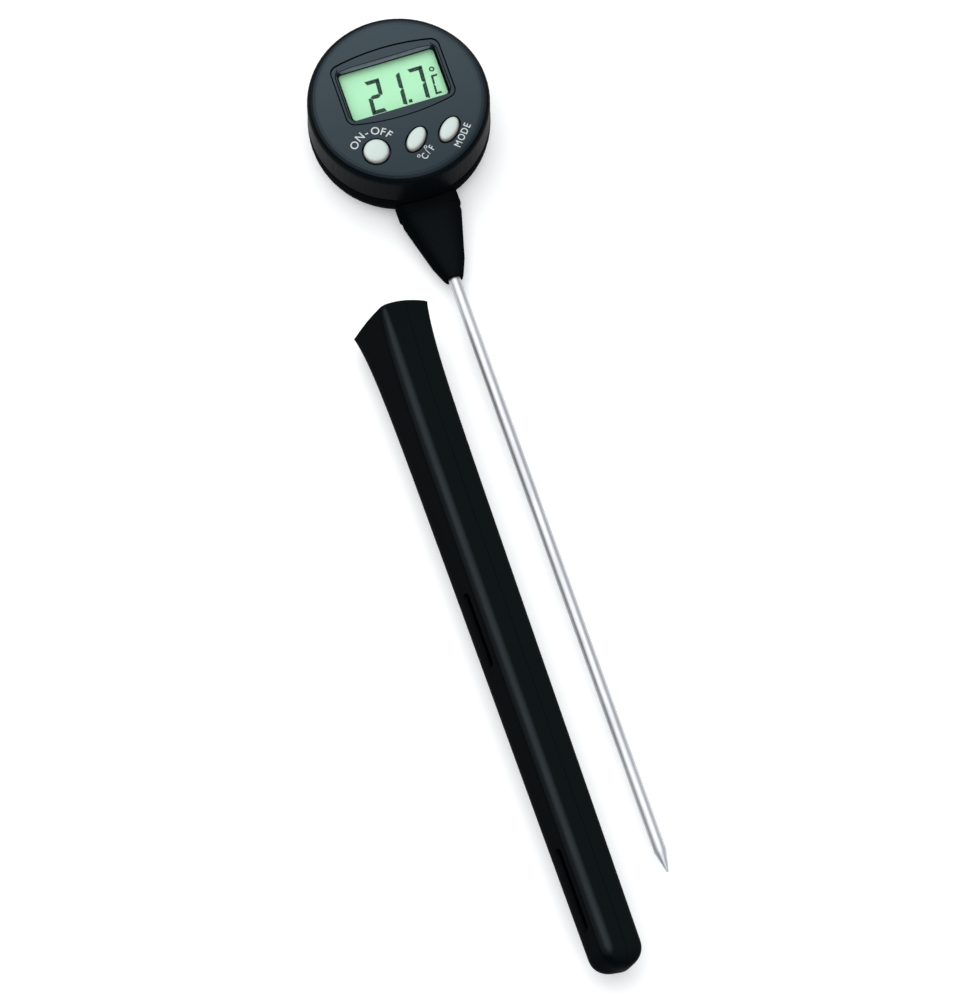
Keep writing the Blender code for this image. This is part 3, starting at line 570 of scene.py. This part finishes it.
def make_sheath_half(name, side, material):
    """A thin half shell with a rounded lip at the mouth and flat lands along its parting edges."""
    outer = sheath_rows(0.0, side)
    inner = sheath_rows(SHEATH_WALL, side)
    for skin in (outer, inner):
        skin[0] = arched(skin[0], -MOUTH_LIP)
    rim = []
    for i in range(1, LIP_STEPS):
        share = i / LIP_STEPS
        rise = Vector((0, MOUTH_LIP * math.sin(math.pi * share), 0))
        rim.append([Vector(a).lerp(Vector(b), share) + rise for a, b in zip(outer[0], inner[0])])
    rows = inner[::-1] + rim[::-1] + outer
    mesh = bmesh.new()
    grid = [[mesh.verts.new(point) for point in row] for row in rows]
    for near, far in zip(grid, grid[1:]):
        for i in range(len(near) - 1):
            mesh.faces.new((near[i], near[i + 1], far[i + 1], far[i]))
    inner_mouth = len(inner) - 1
    outer_mouth = len(grid) - len(outer)
    for edge in (0, -1):
        mesh.faces.new([row[edge] for row in grid[inner_mouth : outer_mouth + 1]])
        for i in range(inner_mouth):
            inside = grid[inner_mouth - i]
            outside = grid[outer_mouth + i]
            inside_next = grid[inner_mouth - i - 1]
            outside_next = grid[outer_mouth + i + 1]
            mesh.faces.new((inside[edge], outside[edge], outside_next[edge], inside_next[edge]))
    mesh.faces.new(grid[0])
    mesh.faces.new(grid[-1])
    mesh.faces.new([grid[0][0], grid[0][-1], grid[-1][-1], grid[-1][0]])
    mesh.transform(SHEATH_PLACING)
    piece = finish_mesh(name, mesh, material, "sheath", sharp=40)
    return piece


def slot_cutter(start, length):
    """A long hole with rounded ends, through the slotted face only."""
    radius = SLOT_WIDTH / 2
    outline = []
    for sign in (1, -1):
        for i in range(9):
            turn = math.radians(180 * i / 8)
            x = radius * math.cos(turn) * sign
            y = (length / 2 - radius + radius * math.sin(turn)) * sign
            outline.append((x, -start - length / 2 + y))
    mesh = bmesh.new()
    add_prism(mesh, outline, 2 * MM, 12 * MM)
    bmesh.ops.recalc_face_normals(mesh, faces=mesh.faces)
    mesh.transform(SHEATH_PLACING)
    data = bpy.data.meshes.new("slot_cutter")
    mesh.to_mesh(data)
    mesh.free()
    cutter = bpy.data.objects.new("slot_cutter", data)
    bpy.context.scene.collection.objects.link(cutter)
    return cutter


def apply_modifiers(piece):
    graph = bpy.context.evaluated_depsgraph_get()
    data = bpy.data.meshes.new_from_object(piece.evaluated_get(graph))
    piece.modifiers.clear()
    piece.data = data


def make_sheath(material):
    front = make_sheath_half("sheath_front", 1, material)
    rear = make_sheath_half("sheath_rear", -1, material)
    cutters = [slot_cutter(*slot) for slot in SLOTS]
    for cutter in cutters:
        hole = front.modifiers.new("slot", "BOOLEAN")
        hole.object = cutter
        hole.solver = "EXACT"
    apply_modifiers(front)
    for cutter in cutters:
        bpy.data.objects.remove(cutter)
    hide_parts("sheath_front_shell")
    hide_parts("sheath_rear_shell")


# ---------------------------------------------------------------- probe

POINT_LENGTH = 5.3 * MM
PROBE_ROWS = 40
PROBE_SIDES = 48


def make_probe(steel):
    """The ground steel stem, its short conical point turned on the end."""
    low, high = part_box("probe_tube")
    centre = (low + high) / 2
    radius = (high.z - low.z) / 2
    tip = low.y
    shoulder = tip + POINT_LENGTH
    rounding = 0.12 * MM
    profile = [(0.14 * MM, tip + 0.03 * MM), (0.26 * MM, tip + 0.2 * MM)]
    profile += [(radius - rounding, shoulder - 0.25 * MM), (radius, shoulder + rounding)]
    straight = shoulder + rounding
    for i in range(1, PROBE_ROWS + 1):
        profile.append((radius, straight + (high.y - straight) * i / PROBE_ROWS))
    profile.append((radius - 0.3 * MM, high.y))
    mesh = bmesh.new()
    rows = []
    for r, y in profile:
        row = []
        for i in range(PROBE_SIDES):
            turn = math.tau * i / PROBE_SIDES
            row.append(mesh.verts.new((centre.x + r * math.cos(turn), y, centre.z + r * math.sin(turn))))
        rows.append(row)
    for near, far in zip(rows, rows[1:]):
        for i in range(PROBE_SIDES):
            j = (i + 1) % PROBE_SIDES
            mesh.faces.new((near[i], near[j], far[j], far[i]))
    mesh.faces.new(rows[0])
    mesh.faces.new(rows[-1])
    probe = finish_mesh("probe_stem", mesh, steel, sharp=25)
    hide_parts("probe_tube")


# ---------------------------------------------------------------- display frame

LINE_HALF_X = 13.1 * MM
LINE_HALF_LENGTH = 7.4 * MM
LINE_THICKNESS = 0.13 * MM
LINE_STEPS = 16
LINE_BEND = 0.78  # the share of a line that is straight, before its ends lean inwards
SILL_Y = 10.8 * MM
SILL_DEPTH = 0.95 * MM
CREST_DEPTH = 0.35 * MM
LIP_CREST = [(-11.938, 11.14), (-5.969, 11.725), (0.0, 11.95), (5.969, 11.725), (11.938, 11.14)]  # mm
LIP_PROUD = 0.035 * MM
LIP_THICKNESS = 0.03 * MM
# mm: the brow's straight lower edge, then its arched upper one
BROW = [(-8.9, 11.45), (8.9, 11.45), (8.6, 11.6), (6.35, 11.8), (0.0, 12.05), (-6.35, 11.8), (-8.6, 11.6)]


def make_frame_lines(material):
    """A thin dark line just inside each upright side of the display frame, painted as the shade in a
    groove.
    """
    lo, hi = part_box("lcd_frame")
    middle = (lo.y + hi.y) / 2 - 0.1 * MM
    for name, side in (("left", -1), ("right", 1)):
        curve = bpy.data.curves.new(f"frame_line_{name}", "CURVE")
        curve.dimensions = "3D"
        curve.bevel_depth = LINE_THICKNESS
        curve.bevel_resolution = 2
        curve.use_fill_caps = True
        spline = curve.splines.new("POLY")
        spline.points.add(LINE_STEPS)
        for i, point in enumerate(spline.points):
            along = 2 * i / LINE_STEPS - 1
            lean = 1.1 * MM * max(0.0, abs(along) - LINE_BEND) / (1 - LINE_BEND)
            x = side * (LINE_HALF_X - lean * abs(along))
            point.co = (x, middle + LINE_HALF_LENGTH * along, FRAME_Z, 1.0)
        curve.materials.append(material)
        piece = bpy.data.objects.new(f"frame_line_{name}", curve)
        bpy.context.scene.collection.objects.link(piece)
        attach(piece, BODY)


def make_recess_highlight(material):
    """A painted highlight on the slope above the window: a thin pale strip from its sill up to the
    recess's crest.
    """
    mesh = bmesh.new()
    rows = []
    for depth in (0.0, LIP_THICKNESS):
        shift = depth - LIP_PROUD
        low_z = FRAME_Z - SILL_DEPTH
        high_z = FRAME_Z - CREST_DEPTH
        rows.append([mesh.verts.new((x * MM, SILL_Y + shift, low_z)) for x, _ in LIP_CREST])
        rows.append([mesh.verts.new((x * MM, y * MM + shift, high_z)) for x, y in LIP_CREST])
    low_out, high_out, low_in, high_in = rows
    loop = (low_out, high_out, high_in, low_in)
    for near, far in zip(loop, loop[1:] + loop[:1]):
        for i in range(len(LIP_CREST) - 1):
            mesh.faces.new((near[i], near[i + 1], far[i + 1], far[i]))
    for end in (0, -1):
        mesh.faces.new([row[end] for row in loop])
    finish_mesh("recess_highlight", mesh, material, smooth=False)


def make_recess_brow(plastic):
    """A thin plate that keeps the recess's upper edge straight under its arch."""
    mesh = bmesh.new()
    outline = [(x * MM, y * MM) for x, y in BROW]
    add_prism(mesh, outline, FRAME_Z - 0.3 * MM, FRAME_Z + 0.003 * MM)
    finish_mesh("recess_brow", mesh, plastic, smooth=False)


# ---------------------------------------------------------------- studio

CAMERA_AZIMUTH = math.radians(-18.33)
CAMERA_ELEVATION = math.radians(68.0)
CAMERA_DISTANCE = 1.5
CAMERA_LENS = 224.4
SENSOR_WIDTH = 36.0
CAMERA_TARGET = Vector((-0.01113, -0.1034, 0.0103))
FLOOR_REACH = 6.0
LIGHT_AIM = Vector((0.0, -0.09, 0.01))


def make_camera():
    level = math.cos(CAMERA_ELEVATION)
    x = math.sin(CAMERA_AZIMUTH) * level
    y = -math.cos(CAMERA_AZIMUTH) * level
    back = Vector((x, y, math.sin(CAMERA_ELEVATION)))
    data = bpy.data.cameras.new("camera")
    data.lens = CAMERA_LENS
    data.sensor_width = SENSOR_WIDTH
    camera = bpy.data.objects.new("camera", data)
    camera.location = CAMERA_TARGET + CAMERA_DISTANCE * back
    camera.rotation_mode = "QUATERNION"
    camera.rotation_quaternion = (-back).to_track_quat("-Z", "Y")
    bpy.context.scene.collection.objects.link(camera)
    bpy.context.scene.camera = camera


def make_floor():
    graph = Graph("floor", FLOOR_LIGHT, 0.7, specular=0.1)
    graph.tint(graph.spread(graph.noise(3.0, 2.0), 0.0, 1.0), FLOOR_DARK, FLOOR_LIGHT)
    graph.set("Emission Color", (1.0, 1.0, 1.0, 1.0))
    graph.set("Emission Strength", 0.2)
    mesh = bmesh.new()
    corners = ((-1, -1), (1, -1), (1, 1), (-1, 1))
    mesh.faces.new([mesh.verts.new((FLOOR_REACH * x, FLOOR_REACH * y, 0.0)) for x, y in corners])
    data = bpy.data.meshes.new("floor")
    mesh.to_mesh(data)
    mesh.free()
    floor = bpy.data.objects.new("floor", data)
    data.materials.append(graph.material)
    bpy.context.scene.collection.objects.link(floor)


def make_light(name, place, size, power):
    """A soft rectangular light aimed at the middle of the object."""
    data = bpy.data.lights.new(name, "AREA")
    data.shape = "RECTANGLE"
    data.size, data.size_y = size
    data.energy = power
    light = bpy.data.objects.new(name, data)
    light.location = place
    light.rotation_mode = "QUATERNION"
    light.rotation_quaternion = (LIGHT_AIM - Vector(place)).to_track_quat("-Z", "Y")
    bpy.context.scene.collection.objects.link(light)


def make_studio():
    world = bpy.data.worlds.new("studio")
    bpy.context.scene.world = world
    world.use_nodes = True
    background = world.node_tree.nodes["Background"]
    background.inputs["Color"].default_value = (0.9, 0.96, 1.0, 1.0)
    background.inputs["Strength"].default_value = 0.42
    make_light("overhead_softbox", (-0.2, 0.35, 1.9), (2.8, 2.8), 46.0)
    make_light("front_fill", (0.1, -1.4, 0.9), (1.2, 0.8), 5.0)
    bpy.context.scene.view_settings.view_transform = "Standard"


# ---------------------------------------------------------------- everything


def dress_cad_nodes():
    """Finishes every carried-over node; returns the front shell's plastic."""
    face = face_material()
    ivory = key_material()
    # painted highlight on up-facing faces, and painted shade: dark is the shaded copy of light
    satin = moulded_plastic(
        "satin_black",
        light=(0.0028, 0.004, 0.0044),
        dark=(0.002, 0.003, 0.0034),
        roughness=0.42,
        specular=0.025,
        towards=UP,
        start=0.8,
    )
    rubber = simple("soft_rubber", (0.02, 0.02, 0.021), 0.75, specular=0.3)
    nickel = metal("nickel_plate", (0.68, 0.65, 0.58), 0.3, (900.0, 900.0, 900.0))
    screw_steel = metal("screw_steel", (0.6, 0.6, 0.6), 0.33, (1200.0, 1200.0, 300.0))
    epoxy = simple("glob_epoxy", (0.012, 0.012, 0.013), 0.3)
    board = simple("solder_mask", (0.03, 0.16, 0.07), 0.42, scale=400.0)
    ceramic = simple("tan_ceramic_body", (0.45, 0.33, 0.2), 0.5)

    give("front_shell", face)
    give("lcd_frame", face)
    for node in ("rear_shell", "neck", "battery_cover"):
        give(node, satin)
    for name in ("on_off", "unit", "mode"):
        give(f"button_{name}", ivory)
        give(f"key_dome_{name}", nickel)
    for node in ("battery_seal", "case_gasket", "zebra_strip_upper", "zebra_strip_lower"):
        give(node, rubber)
    for node in ("coin_cell", "battery_contact_negative", "battery_contact_positive", "timing_crystal"):
        give(node, nickel)
    for number in (1, 2, 3):
        give(f"case_screw_{number}", screw_steel)
        give(f"chip_resistor_{number}", epoxy)
    for number in (1, 2):
        give(f"chip_capacitor_{number}", ceramic)
    for node in ("controller_chip", "thermistor"):
        give(node, epoxy)
    give("circuit_board", board)
    give("potting_plug", simple("potting", (0.05, 0.045, 0.04), 0.35))
    give("lcd_reflector", simple("foil", (0.75, 0.8, 0.75), 0.3, 1.0))
    give("lcd_glass", lcd_material())
    give("display_window", window_material())
    give("lead_wire_black", simple("wire_sleeve_black", (0.015, 0.015, 0.015), 0.5))
    give("lead_wire_red", simple("wire_sleeve_red", (0.5, 0.03, 0.02), 0.5))
    return face


def main():
    make_camera()
    make_floor()
    make_studio()
    face = dress_cad_nodes()
    # painted highlight along the sheath's ridge, and painted shade: dark is the shaded copy of light
    black = moulded_plastic(
        "black_abs",
        light=(0.0047, 0.0067, 0.0071),
        dark=(0.0016, 0.0025, 0.003),
        roughness=0.36,
        specular=0.22,
        towards=(-0.36, 0.0, 0.93),
        start=0.84,
    )
    # painted shade: near black for the frame's groove lines
    dark = simple("painted_groove_shade", (0.003, 0.0035, 0.004), 0.5, specular=0.1)
    # painted highlight: the pale colour of the strip on the recess slope
    slope = simple("painted_slope_highlight", (0.1, 0.13, 0.15), 0.3, specular=0.3)
    segments = simple("segment_dark", (0.022, 0.052, 0.042), 0.5, specular=0.05)
    ink = simple("white_ink", (0.6, 0.63, 0.62), 0.6, scale=1500.0)
    steel = metal("ground_steel", (0.67, 0.675, 0.7), 0.5, (2500.0, 60.0, 2500.0))
    make_display_segments(segments)
    make_lettering(ink)
    make_frame_lines(dark)
    make_recess_highlight(slope)
    make_recess_brow(face)
    make_probe(steel)
    make_sheath(black)


main()
